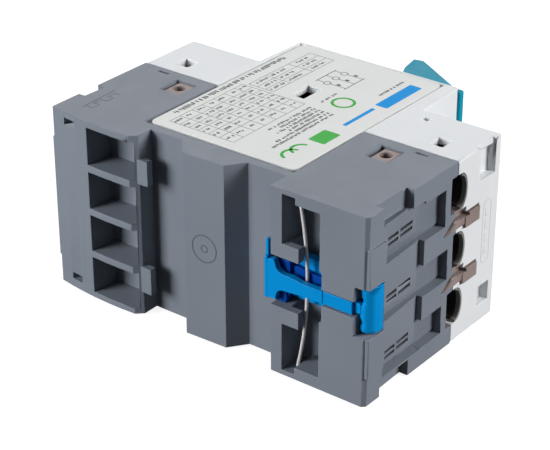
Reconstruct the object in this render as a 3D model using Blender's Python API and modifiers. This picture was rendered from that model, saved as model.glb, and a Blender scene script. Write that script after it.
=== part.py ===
"""Push-button motor protection breaker for a 35 mm rail, built piece by piece.

All drawing sizes are in millimetres in the drawing frame: X runs along the device height
(line end at 0, load end at 88), Y runs from the rail side (0) to the front, and Z runs
across the width (0 to 45). The object lies on its side. place() moves the drawing frame
into the world, in metres, with the origin under the middle of the object.
"""
import math

import bpy
import bmesh
from mathutils import Matrix, Vector

# Driving dimensions, in millimetres.
WIDTH = 45.0
HEIGHT = 88.0
BAND = 0.5
DEPTH_BASE = 33.0
DEPTH_SHOULDER = 50.6
DEPTH_FRONT = 66.0
FRONT_MOST = 78.0
REAR_MOST = -0.5
RECESS = 5.5
WALL = 1.8
END_WALL = 3.5
CAVITY_FLOOR = 10.0
GAP = 0.3
TRIM = 3.0
RAISED_LOW = 20.5
RAISED_HIGH = 67.3
RAISED_DRAFT = 0.5

POLES = (37.2, 23.1, 9.0)
DIVIDERS = (30.1, 16.1)
SCREW_INSET = 7.5
MOUTH_RADIUS = 4.4
MOUTH_LOW_EDGES = (30.9, 32.4, 30.9)
SHALLOW = 0.5
FLOOR_SLOPE = 0.0625
RAMP_FOOT = 85.7
END_RAMPS = ((31.1, 34.6, 40.0, 28.8), (17.5, 21.0, 25.1, 30.4), (4.65, 7.4, 11.6, 28.9))
VENTS = (36.0, 22.4, 8.8)
START_Z = (4.6, 20.6)
STOP_Z = (24.4, 40.4)
BUTTON_X = (28.0, 44.0)
STEM_X = 32.2
ROCKER_Y = 52.4
ROCKER_Z = 22.5
ROCKER_ARM = 10.5
TRIP_AXIS = (56.6, 36.0)
WIRE_ENDS = (1.7, 43.3)
WIRE_DEPTH = 2.9
DIAL_CENTRE = (57.0, 28.0)
DIAL_RADIUS = 5.6

ORIGIN = Vector((HEIGHT / 2, (REAR_MOST + FRONT_MOST) / 2, 0.0))
MM = 0.001

# Material looks: colour, roughness, metallic.
LOOKS = {
    "grey_plastic": ((0.17, 0.19, 0.22), 0.55, 0.0),
    "white_plastic": ((0.80, 0.81, 0.82), 0.50, 0.0),
    "teal_plastic": ((0.02, 0.36, 0.50), 0.40, 0.0),
    "blue_plastic": ((0.0, 0.20, 0.72), 0.35, 0.0),
    "brown_plastic": ((0.17, 0.11, 0.09), 0.60, 0.0),
    "black_plastic": ((0.02, 0.02, 0.022), 0.40, 0.0),
    "red_plastic": ((0.60, 0.02, 0.02), 0.35, 0.0),
    "paper_label": ((0.88, 0.89, 0.88), 0.45, 0.0),
    "spring_steel": ((0.62, 0.60, 0.58), 0.30, 1.0),
    "zinc_steel": ((0.60, 0.60, 0.58), 0.35, 1.0),
    "brass": ((0.72, 0.52, 0.22), 0.30, 1.0),
    "copper": ((0.70, 0.35, 0.20), 0.35, 1.0),
    "silver_contact": ((0.80, 0.80, 0.78), 0.25, 1.0),
    "fibre": ((0.62, 0.50, 0.34), 0.80, 0.0),
}


def place(x, y, z):
    """A point of the drawing frame as a world position in metres."""
    return (Vector((x, y, z)) - ORIGIN) * MM


# ---------------------------------------------------------------------------
# Scene and object helpers


def clear_scene():
    for obj in list(bpy.data.objects):
        bpy.data.objects.remove(obj)


def new_collection(name, hidden=False):
    collection = bpy.data.collections.new(name)
    collection.hide_render = hidden
    bpy.context.scene.collection.children.link(collection)
    return collection


def make_material(name):
    colour, roughness, metallic = LOOKS[name]
    material = bpy.data.materials.new(name)
    material.use_nodes = True
    shader = material.node_tree.nodes["Principled BSDF"]
    shader.inputs["Base Color"].default_value = (*colour, 1.0)
    shader.inputs["Roughness"].default_value = roughness
    shader.inputs["Metallic"].default_value = metallic
    material.diffuse_color = (*colour, 1.0)
    return material


clear_scene()
PARTS = new_collection("motor_protection_breaker")
CUTTERS = new_collection("cutters", hidden=True)
MATERIALS = {name: make_material(name) for name in LOOKS}


def add_object(name, mesh, look=None):
    """A part when it has a look, otherwise a cutter."""
    obj = bpy.data.objects.new(name, mesh)
    if look:
        PARTS.objects.link(obj)
        mesh.materials.append(MATERIALS[look])
    else:
        CUTTERS.objects.link(obj)
        obj.hide_render = True
        obj.display_type = "WIRE"
    return obj


def box(name, x, y, z, look=None):
    """A box between the low and high limits given for each axis."""
    low = place(x[0], y[0], z[0])
    high = place(x[1], y[1], z[1])
    bm = bmesh.new()
    bmesh.ops.create_cube(bm, size=1.0)
    bmesh.ops.scale(bm, vec=high - low, verts=bm.verts)
    bmesh.ops.translate(bm, vec=(high + low) / 2, verts=bm.verts)
    mesh = bpy.data.meshes.new(name)
    bm.to_mesh(mesh)
    bm.free()
    return add_object(name, mesh, look)


TURN_TO = {
    "X": Matrix.Rotation(math.pi / 2, 4, "Y"),
    "Y": Matrix.Rotation(-math.pi / 2, 4, "X"),
    "Z": Matrix.Identity(4),
}


def cylinder(name, centre, radius, length, axis, look=None, sides=24, top_radius=None):
    """A round bar whose axis runs through its centre; top_radius makes it taper."""
    bm = bmesh.new()
    top = radius if top_radius is None else top_radius
    bmesh.ops.create_cone(
        bm, cap_ends=True, segments=sides, radius1=radius * MM, radius2=top * MM, depth=length * MM
    )
    move = Matrix.Translation(place(*centre)) @ TURN_TO[axis]
    bmesh.ops.transform(bm, matrix=move, verts=bm.verts)
    mesh = bpy.data.meshes.new(name)
    bm.to_mesh(mesh)
    bm.free()
    shade_round(mesh)
    return add_object(name, mesh, look)


def shade_round(mesh):
    mesh.shade_smooth()
    mesh.set_sharp_from_angle(angle=math.radians(35))


def curve_to_mesh(curve_obj, name):
    """A closed mesh from a curve, its caps welded."""
    graph = bpy.context.evaluated_depsgraph_get()
    mesh = bpy.data.meshes.new_from_object(curve_obj.evaluated_get(graph))
    mesh.name = name
    bm = bmesh.new()
    bm.from_mesh(mesh)
    bmesh.ops.remove_doubles(bm, verts=bm.verts, dist=1e-6)
    bmesh.ops.transform(bm, matrix=curve_obj.matrix_world, verts=bm.verts)
    bm.to_mesh(mesh)
    bm.free()
    bpy.data.objects.remove(curve_obj)
    return mesh


# How a flat outline's own (u, v) and thickness direction lie in the drawing frame.
OUTLINE_AXES = {
    "XY": ((1, 0, 0), (0, 1, 0)),
    "YZ": ((0, 1, 0), (0, 0, 1)),
    "ZX": ((0, 0, 1), (1, 0, 0)),
}


def plate(name, outline, plane, low, high, look=None):
    """A flat outline, drawn in the named plane, standing between low and high on the third axis."""
    curve = bpy.data.curves.new(name, "CURVE")
    curve.dimensions = "2D"
    curve.fill_mode = "BOTH"
    curve.extrude = (high - low) / 2 * MM
    spline = curve.splines.new("POLY")
    spline.points.add(len(outline) - 1)
    for point, (u, v) in zip(spline.points, outline):
        point.co = (u * MM, v * MM, 0.0, 1.0)
    spline.use_cyclic_u = True
    spline.use_smooth = False
    drawn = bpy.data.objects.new(name, curve)
    CUTTERS.objects.link(drawn)
    u_axis, v_axis = (Vector(axis) for axis in OUTLINE_AXES[plane])
    normal = u_axis.cross(v_axis)
    turn = Matrix((u_axis, v_axis, normal)).transposed().to_4x4()
    drawn.matrix_world = Matrix.Translation(normal * (low + high) / 2 * MM - ORIGIN * MM) @ turn
    bpy.context.view_layer.update()
    return add_object(name, curve_to_mesh(drawn, name), look)


def wire(name, points, radius, look):
    """A round wire through the given drawing points."""
    curve = bpy.data.curves.new(name, "CURVE")
    curve.dimensions = "3D"
    curve.bevel_depth = radius * MM
    curve.bevel_resolution = 2
    curve.use_fill_caps = True
    spline = curve.splines.new("POLY")
    spline.points.add(len(points) - 1)
    for point, drawn in zip(spline.points, points):
        point.co = (*place(*drawn), 1.0)
    obj = bpy.data.objects.new(name, curve)
    CUTTERS.objects.link(obj)
    bpy.context.view_layer.update()
    mesh = curve_to_mesh(obj, name)
    shade_round(mesh)
    return add_object(name, mesh, look)


def turned(name, profile, centre, axis, look, steps=24):
    """A ring or bar turned from a (radius, height) profile that runs down its outer side."""
    mesh = bpy.data.meshes.new(name)
    bm = bmesh.new()
    verts = [bm.verts.new((radius * MM, 0.0, height * MM)) for radius, height in profile]
    for first, second in zip(verts, verts[1:]):
        bm.edges.new((first, second))
    if profile[0][0] > 0:
        bm.edges.new((verts[-1], verts[0]))
    bm.to_mesh(mesh)
    bm.free()
    obj = add_object(name, mesh, look)
    obj.matrix_world = Matrix.Translation(place(*centre)) @ TURN_TO[axis]
    screw = obj.modifiers.new("turn", "SCREW")
    screw.axis = "Z"
    screw.steps = steps
    screw.render_steps = steps
    screw.use_merge_vertices = True
    screw.merge_threshold = 0.00001
    screw.use_smooth_shade = False
    return obj


def bevel(obj, width, segments=2):
    modifier = obj.modifiers.new("rounded_edges", "BEVEL")
    modifier.width = width * MM
    modifier.segments = segments
    modifier.limit_method = "ANGLE"
    modifier.angle_limit = math.radians(40)
    modifier.harden_normals = False


def boolean(obj, others, operation):
    for other in others:
        modifier = obj.modifiers.new(other.name, "BOOLEAN")
        modifier.operation = operation
        modifier.solver = "EXACT"
        modifier.object = other


def cut(obj, *cutters):
    boolean(obj, cutters, "DIFFERENCE")


def join(obj, *extras):
    boolean(obj, extras, "UNION")


def set_origin(obj, x, y, z):
    """Puts the object's origin on the given drawing point, such as its joint axis."""
    point = place(x, y, z)
    shift = obj.matrix_world.inverted() @ point
    obj.data.transform(Matrix.Translation(-shift))
    obj.location = obj.location + obj.matrix_world.to_3x3() @ shift


def mirrored(outline):
    """The outline turned end for end along the height."""
    return [(HEIGHT - x, y) for x, y in reversed(outline)]


# ---------------------------------------------------------------------------
# Rear base


def rear_outline():
    """The base seen from the side: curved hook block, rail recess, middle bulge, clip block."""
    hook_face = [(x, REAR_MOST + 1.7 * ((x - 18.0) / 18.0) ** 2) for x in range(24, -1, -4)]
    return [
        (HEIGHT, DEPTH_BASE + TRIM), (0.0, DEPTH_BASE + TRIM), *reversed(hook_face), (25.7, 1.3),
        (25.7, RECESS), (34.7, RECESS), (38.7, 0.7), (49.8, 1.1), (53.0, RECESS),
        (63.2, RECESS), (63.2, 0.0), (87.2, 0.0), (HEIGHT, 0.8),
    ]


def rear_pocket_cutters():
    """The four mould pockets behind the hooks and the two latch holes."""
    cutters = [
        box(f"cut_hook_pocket_{i}", (11.5, 24.9), (-2, 7.2), (z, z + 9.2))
        for i, z in enumerate((34.2, 23.2, 12.3, 1.4))
    ]
    cutters += [
        box(f"cut_latch_hole_{i}", (4.1, 7.5), (-2, 4.0), z)
        for i, z in enumerate(((2.2, 3.9), (41.9, 43.6)))
    ]
    return cutters


def clip_seat_cutters():
    """The clip's channel, the wire pockets beside it and the corner where its finger tab sits."""
    return [
        box("cut_wire_pocket_a", (66.2, 69.5), (-1, 7.2), (32.2, 43.8)),
        box("cut_wire_pocket_b", (69.0, 75.9), (-1, 7.2), (32.2, 42.2)),
        box("cut_wire_pocket_c", (66.2, 69.5), (-1, 7.2), (1.2, 12.7)),
        box("cut_wire_pocket_d", (69.0, 75.9), (-1, 7.2), (2.9, 12.7)),
        box("cut_wire_tunnel", (67.4, 72.4), (1.9, 7.2), (12.0, 33.0)),
        box("cut_wire_gap_high", (70.6, 75.9), (-1, 7.2), (28.0, 32.6)),
        box("cut_wire_gap_low", (70.6, 75.9), (-1, 7.2), (12.3, 17.5)),
        box("cut_clip_channel", (62.6, 76.5), (-1, 7.2), (16.7, 28.8)),
        box("cut_nose_notch", (62.6, 65.2), (0.75, 3.0), (28.4, 31.7)),
        box("cut_clip_undercut", (76.0, 80.0), (3.2, 7.2), (16.7, 28.8)),
        box("cut_arm_slot", (76.0, 85.5), (-1, 3.6), (20.9, 24.6)),
        box("cut_finger_corner", (84.8, 90.0), (-1, 6.3), (16.5, 28.3)),
    ]


def end_cell_cutters(load_end):
    """The shelf, ramps, vents and edge notches of one end face, pole by pole."""
    side = (lambda x: x) if load_end else (lambda x: HEIGHT - x)
    tag = "load" if load_end else "line"
    cutters = []

    def straight(name, x, y, z):
        span = sorted((side(x[0]), side(x[1])))
        cutters.append(box(f"cut_{name}_{tag}", span, y, z))

    def sloped(name, y, z, shallow):
        floor = [HEIGHT - shallow - FLOOR_SLOPE * (depth - 6.4) for depth in y]
        outline = [(side(90.0), y[0]), (side(floor[0]), y[0]), (side(floor[1]), y[1]), (side(90.0), y[1])]
        cutters.append(plate(f"cut_{name}_{tag}", outline, "XY", z[0], z[1]))

    sloped("shelf", (6.4, 20.9), (4.5, 40.6), SHALLOW)
    for pole, (low, crease, high, top) in enumerate(END_RAMPS, 1):
        sloped(f"cell_{pole}", (20.4, top - 0.15), (low + 0.2, high), SHALLOW + 0.06)
        ramp = [(crease, 90.0), (crease, HEIGHT - SHALLOW), (low, RAMP_FOOT), (low, 90.0)]
        outline = [(z, side(x)) for z, x in ramp]
        cutters.append(plate(f"cut_ramp_{tag}_{pole}", outline, "ZX", 6.4, top))
    for centre in VENTS:
        for row in (-0.67, 0.67):
            for span in ((8.0, 12.1), (12.9, 17.8)):
                height = (centre + row - 0.42, centre + row + 0.42)
                straight(f"vent_{centre:.0f}_{row:.0f}_{span[0]:.0f}", (84.9, 90), span, height)
    straight("edge_notch_high", (86.0, 90), (5.6 if load_end else 9.9, 16.3), (40.6, 46))
    straight("edge_notch_low", (86.0, 90), (5.6 if load_end else 9.9, 16.3), (-1, 4.1))
    for centre in DIVIDERS:
        low, high = centre - 1.6, centre + 1.6
        slot = [(28.2, low), (34.0, low), (34.0, high), (32.6, high)]
        wall = sorted((side(83), side(90)))
        cutters.append(plate(f"cut_tab_slot_{tag}_{centre:.0f}", slot, "YZ", *wall))
    for centre, low_edge in zip(POLES, MOUTH_LOW_EDGES):
        mouth = (centre - MOUTH_RADIUS, centre + MOUTH_RADIUS)
        straight(f"mouth_{centre:.0f}", (83, 90), (low_edge, 34), mouth)
    return cutters


def post_slot_cutters():
    """Windows in both side walls for the inner frame's square posts, and the small L slits."""
    cutters = []
    for tag, left in (("load", 70.4), ("line", 12.6)):
        cutters.append(box(f"cut_post_{tag}", (left, left + 5.8), (23.4, 29.9), (-1, 46)))
    for side, z in (("high", (WIDTH - 0.9, 46)), ("low", (-1, 0.9))):
        for end, x in (("load", 78.2), ("line", 5.6)):
            cutters.append(box(f"cut_slit_{end}_{side}", (x, x + 3.2), (30.9, 31.7), z))
    return cutters


def make_rear_base():
    base = plate("rear_base", rear_outline(), "XY", 0.0, WIDTH, "grey_plastic")
    bevel(base, 0.45)
    join(
        base,
        box("band_line", (-BAND, 1.0), (1.25, DEPTH_BASE - 0.6), (7.0, 37.5)),
        box("band_load", (87.0, HEIGHT + BAND), (0.4, 6.2), (7.0, 37.5)),
        box("hook_high", (25.2, 28.3), (0.9, 2.6), (33.3, 39.3)),
        box("hook_low", (25.2, 28.3), (0.9, 2.6), (5.8, 12.4)),
    )
    cut(
        base,
        box("cut_base_rim", (-2, 90), (DEPTH_BASE, DEPTH_BASE + 9), (-2, 47)),
        box("cut_cavity", (END_WALL, HEIGHT - END_WALL), (CAVITY_FLOOR, 40), (WALL, WIDTH - WALL)),
        *rear_pocket_cutters(),
        *clip_seat_cutters(),
        *end_cell_cutters(load_end=True),
        *end_cell_cutters(load_end=False),
        *post_slot_cutters(),
        label_recess("cut_label_base"),
    )


# ---------------------------------------------------------------------------
# Front cover


def label_recess(name):
    return box(name, (21.8, 63.4), (7.8, 65.7 - RAISED_DRAFT), (WIDTH - 0.6, WIDTH + 1))


def mouth_outline(centre):
    """Half-round cable mouth whose flat side is the base's edge."""
    arc = [math.pi * step / 10 for step in range(11)]
    low_edge = DEPTH_BASE - 1.0
    return [
        (low_edge, centre + MOUTH_RADIUS), (low_edge, centre - MOUTH_RADIUS),
        *[(DEPTH_BASE + 1.8 + 2.4 * math.sin(a), centre - MOUTH_RADIUS * math.cos(a)) for a in arc],
    ]


def cover_outline():
    return [
        (HEIGHT, DEPTH_BASE - TRIM), (HEIGHT, DEPTH_SHOULDER), (RAISED_HIGH, DEPTH_SHOULDER),
        (RAISED_HIGH - RAISED_DRAFT, DEPTH_FRONT), (RAISED_LOW + RAISED_DRAFT, DEPTH_FRONT),
        (RAISED_LOW, DEPTH_SHOULDER), (0.0, DEPTH_SHOULDER), (0.0, DEPTH_BASE - TRIM),
    ]


def make_front_cover():
    cover = plate("front_cover", cover_outline(), "XY", 0.0, WIDTH, "white_plastic")
    bevel(cover, 0.5)
    inside = (WALL, WIDTH - WALL)
    cutters = [
        box("cut_cover_rim", (-2, 90), (DEPTH_BASE - 9, DEPTH_BASE + GAP), (-2, 47)),
        box("cut_cover_low", (2.2, HEIGHT - 2.2), (30, DEPTH_SHOULDER - 2), inside),
        box("cut_cover_high", (RAISED_LOW + 2.4, RAISED_HIGH - 2.4), (40, DEPTH_FRONT - 1.8), inside),
        box("cut_start_hole", (27.5, 44.5), (60, 70), (START_Z[0] - 0.5, START_Z[1] + 0.5)),
        box("cut_stop_hole", (27.5, 44.5), (60, 70), (STOP_Z[0] - 0.5, STOP_Z[1] + 0.5)),
        cylinder("cut_dial_hole", (DIAL_CENTRE[0], 66, DIAL_CENTRE[1]), 2.6, 12, "Y"),
        box("cut_test_hole", (54.5, 60.0), (60, 70), (12.2, 15.0)),
        box("cut_label_window", (38.4, 42.3), (39.2, 45.9), (40, 46)),
        label_recess("cut_label_cover"),
    ]
    for end, screw_x, wall in (("line", SCREW_INSET, (-1, 3)), ("load", HEIGHT - SCREW_INSET, (85, 89))):
        for pole, centre in enumerate(POLES, 1):
            cutters.append(plate(f"cut_mouth_{end}_{pole}", mouth_outline(centre), "YZ", *wall))
            cutters.append(cylinder(f"cut_access_{end}_{pole}", (screw_x, 49, centre), 3.6, 8, "Y"))
        for centre in DIVIDERS:
            rib = (centre - 1.6, centre + 2.7)
            head = (centre - 2.6, centre + 1.35)
            cutters.append(box(f"cut_rib_{end}_{centre:.0f}", wall, (32, 37), rib))
            cutters.append(box(f"cut_tab_{end}_{centre:.0f}", wall, (36.0, 42.4), head))
        square = (6.0, 9.6) if end == "line" else (77.9, 81.3)
        cutters.append(box(f"cut_window_{end}", square, (36.9, 40.9), (41, 46)))
        corner = (-1, 2) if end == "line" else (86, 89)
        cutters.append(box(f"cut_end_square_{end}", corner, (43.9, 48.3), (4.6, 9.4)))
    cutters.append(box("cut_small_slot", (69.7, 71.4), (46.2, 47.7), (41, 46)))
    slot = [(36.8, 89), (36.8, 86), (42.4, 86), (43.6, 87.1), (47, 87.1), (47, 89)]
    cutters.append(plate("cut_end_slot", slot, "ZX", 42.03, 48.37))
    cut(cover, *cutters)


# ---------------------------------------------------------------------------
# Front plate, buttons, dial and test slide


def guard_outline():
    """Side view of the raised guard: a crest that leans over the buttons and a long ramp."""
    return [(50.4, 67.0), (65.0, 67.0), (64.6, 68.4), (49.0, FRONT_MOST), (46.8, FRONT_MOST - 0.6),
            (47.8, 72.0)]


def make_fascia():
    """The teal front plate with the raised guard around the setting dial."""
    plate_x = (RAISED_LOW + 1.0, RAISED_HIGH - 0.2)
    plate_y = (DEPTH_FRONT + GAP, 68.2)
    plate_z = (1.3, WIDTH - 1.3)
    fascia = box("fascia", plate_x, plate_y, plate_z, "teal_plastic")
    bevel(fascia, 0.5)
    guard = plate("guard_body", guard_outline(), "XY", plate_z[0] + 0.5, plate_z[1] - 0.5)
    join(fascia, guard)
    dial_x, dial_z = DIAL_CENTRE
    cut(
        fascia,
        box("cut_guard_well", (51.5, 63.0), (68.2, 80), (9.0, 36.5)),
        box("cut_fascia_start", (27.5, 44.5), (60, 80), (START_Z[0] - 0.5, START_Z[1] + 0.5)),
        box("cut_fascia_stop", (27.5, 44.5), (60, 80), (STOP_Z[0] - 0.5, STOP_Z[1] + 0.5)),
        cylinder("cut_fascia_dial", (dial_x, 69, dial_z), DIAL_RADIUS + 0.35, 12, "Y", sides=32),
        box("cut_fascia_test", (54.5, 60.0), (60, 80), (12.2, 15.0)),
    )


def make_button(name, z, top, look):
    """A push button: a rounded cap with a collar behind the front wall and a stem to the rocker."""
    stem_z = ROCKER_Z - ROCKER_ARM if name == "start_button" else ROCKER_Z + ROCKER_ARM
    cap = box(name, BUTTON_X, (60.5, top), z, look)
    bevel(cap, 0.8)
    collar = box(f"{name}_collar", (26.6, 45.4), (58.6, 61.2), (z[0] - 1.2, z[1] + 1.2))
    stem = cylinder(f"{name}_stem", (STEM_X, 57.2, stem_z), 1.4, 4.8, "Y", sides=16)
    dish = box(f"cut_{name}_dish", (30.0, 42.0), (top - 0.6, top + 1), (z[0] + 2, z[1] - 2))
    join(cap, collar, stem)
    cut(cap, dish)
    set_origin(cap, STEM_X, 60.5, stem_z)


def make_setting_dial():
    x, z = DIAL_CENTRE
    dial = cylinder("setting_dial", (x, 67.9, z), DIAL_RADIUS, 2.6, "Y", "white_plastic", sides=32)
    shaft = cylinder("dial_shaft", (x, 63.4, z), 2.2, 6.8, "Y", sides=20)
    join(dial, shaft)
    cut(
        dial,
        box("cut_dial_slot", (x - 4.4, x + 4.4), (68.2, 70), (z - 0.6, z + 0.6)),
        box("cut_dial_pointer", (x + 3.6, x + 7.0), (68.6, 70), (z - 0.9, z + 0.9)),
    )
    set_origin(dial, x, 67.9, z)


def make_trip_tester():
    tester = box("trip_tester", (55.0, 57.2), (60.4, 67.4), (12.6, 14.6), "red_plastic")
    bevel(tester, 0.2)
    join(tester, box("tester_foot", (54.2, 58.0), (60.8, 62.6), (11.2, 16.0)))
    set_origin(tester, 56.1, 60.4, 13.6)


# ---------------------------------------------------------------------------
# Rail clip and its wire spring


def clip_outline():
    """Rear view of the clip's upper layer: nose, scalloped shoulders and the long arm."""
    upper = [(62.3, 27.2), (64.4, 27.2), (64.8, 25.9), (66.2, 25.0), (68.2, 24.9), (71.0, 24.4)]
    lower = [(71.0, 21.1), (68.6, 20.9), (67.2, 20.2), (66.6, 18.6), (65.6, 17.9), (62.3, 17.9)]
    return [(z, x) for x, z in upper + [(86.0, 24.4), (86.0, 21.1)] + lower]


def make_din_clip():
    clip = plate("din_clip", clip_outline(), "ZX", 0.5, 2.0, "blue_plastic")
    join(
        clip,
        box("clip_nose", (61.0, 63.1), (0.5, 5.1), (17.9, 27.6)),
        box("clip_nose_tip", (61.0, 62.0), (1.05, 2.6), (27.0, 31.3)),
        box("clip_shoulder", (62.9, 66.8), (1.0, 6.4), (18.2, 27.0)),
        box("clip_sheet", (66.0, 76.2), (4.0, 6.4), (17.2, 28.3)),
        box("clip_arm_rib", (74.6, 85.6), (1.2, 3.2), (21.4, 24.1)),
        box("clip_arm_post", (74.6, 76.1), (1.2, 4.8), (21.4, 24.1)),
        box("clip_wire_pusher", (67.6, 69.8), (1.2, 4.8), (21.4, 24.1)),
        cylinder("clip_finger", (86.85, 2.6, 22.4), 1.65, 11.0, "Z", sides=20),
        box("clip_finger_back", (85.3, 88.3), (2.2, 5.9), (16.95, 27.85)),
    )
    cut(
        clip,
        box("cut_finger_high", (86.0, 90), (-1, 2.4), (24.6, 26.2)),
        box("cut_finger_low", (86.0, 90), (-1, 2.4), (18.4, 20.2)),
        box("cut_clip_scallop", (67.4, 70.0), (3, 7), (17.0, 19.4)),
    )
    set_origin(clip, 76.0, 2.0, 22.75)


def spring_path():
    """The wire bows toward the load end, held at both ends and pushed by the clip in the middle."""
    points = []
    for step in range(15):
        z = WIRE_ENDS[0] + (WIRE_ENDS[1] - WIRE_ENDS[0]) * step / 14
        bow = 1.0 - ((z - 22.5) / 20.9) ** 2
        points.append((68.4 + 2.4 * bow, WIRE_DEPTH, z))
    return points


# ---------------------------------------------------------------------------
# Inner frame


def divider_outline():
    """One wall between two poles, notched for the contact carrier and the trip bar."""
    return [
        (4.2, 10.6), (83.8, 10.6), (83.8, 27.8), (HEIGHT + 0.2, 27.8), (HEIGHT + 0.2, 42.1),
        (60.4, 42.1), (60.4, 29.0), (53.6, 29.0), (53.6, 36.0), (36.0, 36.0), (36.0, 19.6),
        (28.6, 19.6), (28.6, 42.1), (-0.2, 42.1), (-0.2, 27.8), (4.2, 27.8),
    ]


def make_inner_frame():
    low, high = 0.35, WIDTH - 0.35
    frame = box("inner_frame", (71.6, 75.9), (23.8, 29.5), (low, high), "brown_plastic")
    parts = [box("frame_bar_line", (13.7, 18.1), (23.8, 29.5), (low, high))]
    parts.append(box("frame_floor", (20.5, 68.0), (10.4, 11.6), (2.2, WIDTH - 2.2)))
    for centre in DIVIDERS:
        parts.append(plate(f"divider_{centre:.0f}", divider_outline(), "XY", centre - 0.9, centre + 0.9))
        head = (centre - 2.3, centre + 1.05)
        for end, x in (("load", (84.6, HEIGHT + 0.3)), ("line", (-0.3, 3.4))):
            parts.append(box(f"rib_{end}_{centre:.0f}", x, (27.8, 37.0), (centre - 1.3, centre + 0.3)))
        for end, x in (("load", (84.6, HEIGHT - 0.8)), ("line", (0.8, 3.4))):
            parts.append(box(f"rib_back_{end}_{centre:.0f}", x, (27.8, 36.6), (centre, centre + 1.3)))
            parts.append(box(f"rib_wing_{end}_{centre:.0f}", x, (33.5, 36.6), (centre + 0.9, centre + 2.35)))
        for end, x in (("load", (86.6, HEIGHT + BAND)), ("line", (-BAND, 1.4))):
            parts.append(box(f"tab_{end}_{centre:.0f}", x, (36.3, 42.1), head))
    for end, x in (("load", (75.0, 84.2)), ("line", (3.8, 14.0))):
        parts.append(box(f"ledge_{end}", x, (28.9, 31.05), (4.0, WIDTH - 3.4)))
    between_dividers = (DIVIDERS[1], DIVIDERS[0])
    parts.append(box("shelf_line", (24.0, 28.5), (36.2, 37.7), between_dividers))
    parts.append(box("shelf_load", (36.2, 40.0), (34.5, 37.7), between_dividers))
    join(frame, *parts)
    cutters = []
    for end, x, screw_x in (("load", 73.6, HEIGHT - SCREW_INSET), ("line", 15.7, SCREW_INSET)):
        for side, z in (("high", WIDTH - 2.0), ("low", 2.0)):
            cutters.append(cylinder(f"cut_post_hole_{end}_{side}", (x, 26.8, z), 1.5, 4.2, "Z", sides=20))
        for pole, z in enumerate(POLES, 1):
            cutters.append(cylinder(f"cut_ledge_{end}_{pole}", (screw_x, 30, z), 2.3, 4, "Y", sides=16))
    for end, x in (("load", (86.6, 90)), ("line", (-2, 1.4))):
        for centre in DIVIDERS:
            slot = (centre + 0.35, centre + 1.6)
            cutters.append(box(f"cut_tab_notch_{end}_{centre:.0f}", x, (34.2, 37.8), slot))
    for end, wall in (("load", (84.1, 90)), ("line", (-2, 3.9))):
        for centre in DIVIDERS:
            low, high = centre - 2.0, centre + 2.0
            slant = [(26.5, low), (28.16, low), (33.67, high), (26.5, high)]
            cutters.append(plate(f"cut_rib_foot_{end}_{centre:.0f}", slant, "YZ", *wall))
    cut(frame, *cutters)


# ---------------------------------------------------------------------------
# Current path of one pole


def make_line_terminal(pole, z):
    span = (z - 3.6, z + 3.6)
    outline = [
        (3.9, 31.4), (19.2, 31.4), (19.2, 16.0), (27.4, 16.0), (27.4, 17.2), (20.4, 17.2),
        (20.4, 32.6), (3.9, 32.6),
    ]
    bar = plate(f"line_terminal_{pole}", outline, "XY", *span, "brass")
    join(bar, box(f"line_tip_{pole}", (24.2, 27.2), (17.0, 18.0), (z - 1.8, z + 1.8)))
    cut(bar, cylinder(f"cut_line_thread_{pole}", (SCREW_INSET, 32, z), 2.1, 4, "Y", sides=20))


def make_load_terminal(pole, z):
    span = (z - 3.6, z + 3.6)
    outline = mirrored([
        (3.9, 31.4), (18.0, 31.4), (18.0, 14.0), (22.6, 14.0), (22.6, 15.2), (19.2, 15.2),
        (19.2, 32.6), (3.9, 32.6),
    ])
    bar = plate(f"load_terminal_{pole}", outline, "XY", *span, "brass")
    cut(bar, cylinder(f"cut_load_thread_{pole}", (HEIGHT - SCREW_INSET, 32, z), 2.1, 4, "Y", sides=20))


def make_clamp(end, pole, x, z):
    """The captive square washer that presses the conductor on the bar."""
    washer = box(f"{end}_clamp_{pole}", (x - 3.9, x + 3.9), (37.4, 38.4), (z - 3.9, z + 3.9), "zinc_steel")
    bevel(washer, 0.3, segments=1)
    cut(washer, cylinder(f"cut_{end}_clamp_{pole}", (x, 38, z), 2.1, 4, "Y", sides=20))
    set_origin(washer, x, 37.9, z)


def make_screw(end, pole, x, z):
    """A terminal screw with a crossed slot in its head."""
    profile = [(0.0, 41.6), (2.7, 41.6), (3.05, 41.2), (3.05, 38.7), (1.75, 38.7), (1.75, 29.6), (0.0, 29.2)]
    centred = [(radius, height - 38.7) for radius, height in profile]
    screw = turned(f"{end}_screw_{pole}", centred, (x, 38.7, z), "Y", "zinc_steel", steps=24)
    cut(
        screw,
        box(f"cut_{end}_slot_a_{pole}", (x - 3.2, x + 3.2), (40.4, 43), (z - 0.45, z + 0.45)),
        box(f"cut_{end}_slot_b_{pole}", (x - 0.45, x + 0.45), (40.4, 43), (z - 2.0, z + 2.0)),
    )


def make_bridge(pole, z):
    """The moving contact bridge with a silver-faced tip at each end, here as one pressed piece."""
    bridge = box(f"contact_bridge_{pole}", (24.0, 41.2), (21.4, 22.4), (z - 1.8, z + 1.8), "copper")
    join(
        bridge,
        box(f"bridge_tip_a_{pole}", (24.2, 27.0), (20.7, 21.6), (z - 1.6, z + 1.6)),
        box(f"bridge_tip_b_{pole}", (38.0, 41.0), (20.7, 21.6), (z - 1.6, z + 1.6)),
    )


def make_coil_terminal(pole, z):
    """The inner fixed contact, a bar that carries the current on to the trip coil."""
    bar = box(f"inner_contact_{pole}", (37.4, 43.8), (16.0, 17.2), (z - 3.0, z + 3.0), "brass")
    join(bar, box(f"inner_tip_{pole}", (38.0, 41.0), (17.0, 18.0), (z - 1.8, z + 1.8)))


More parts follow.
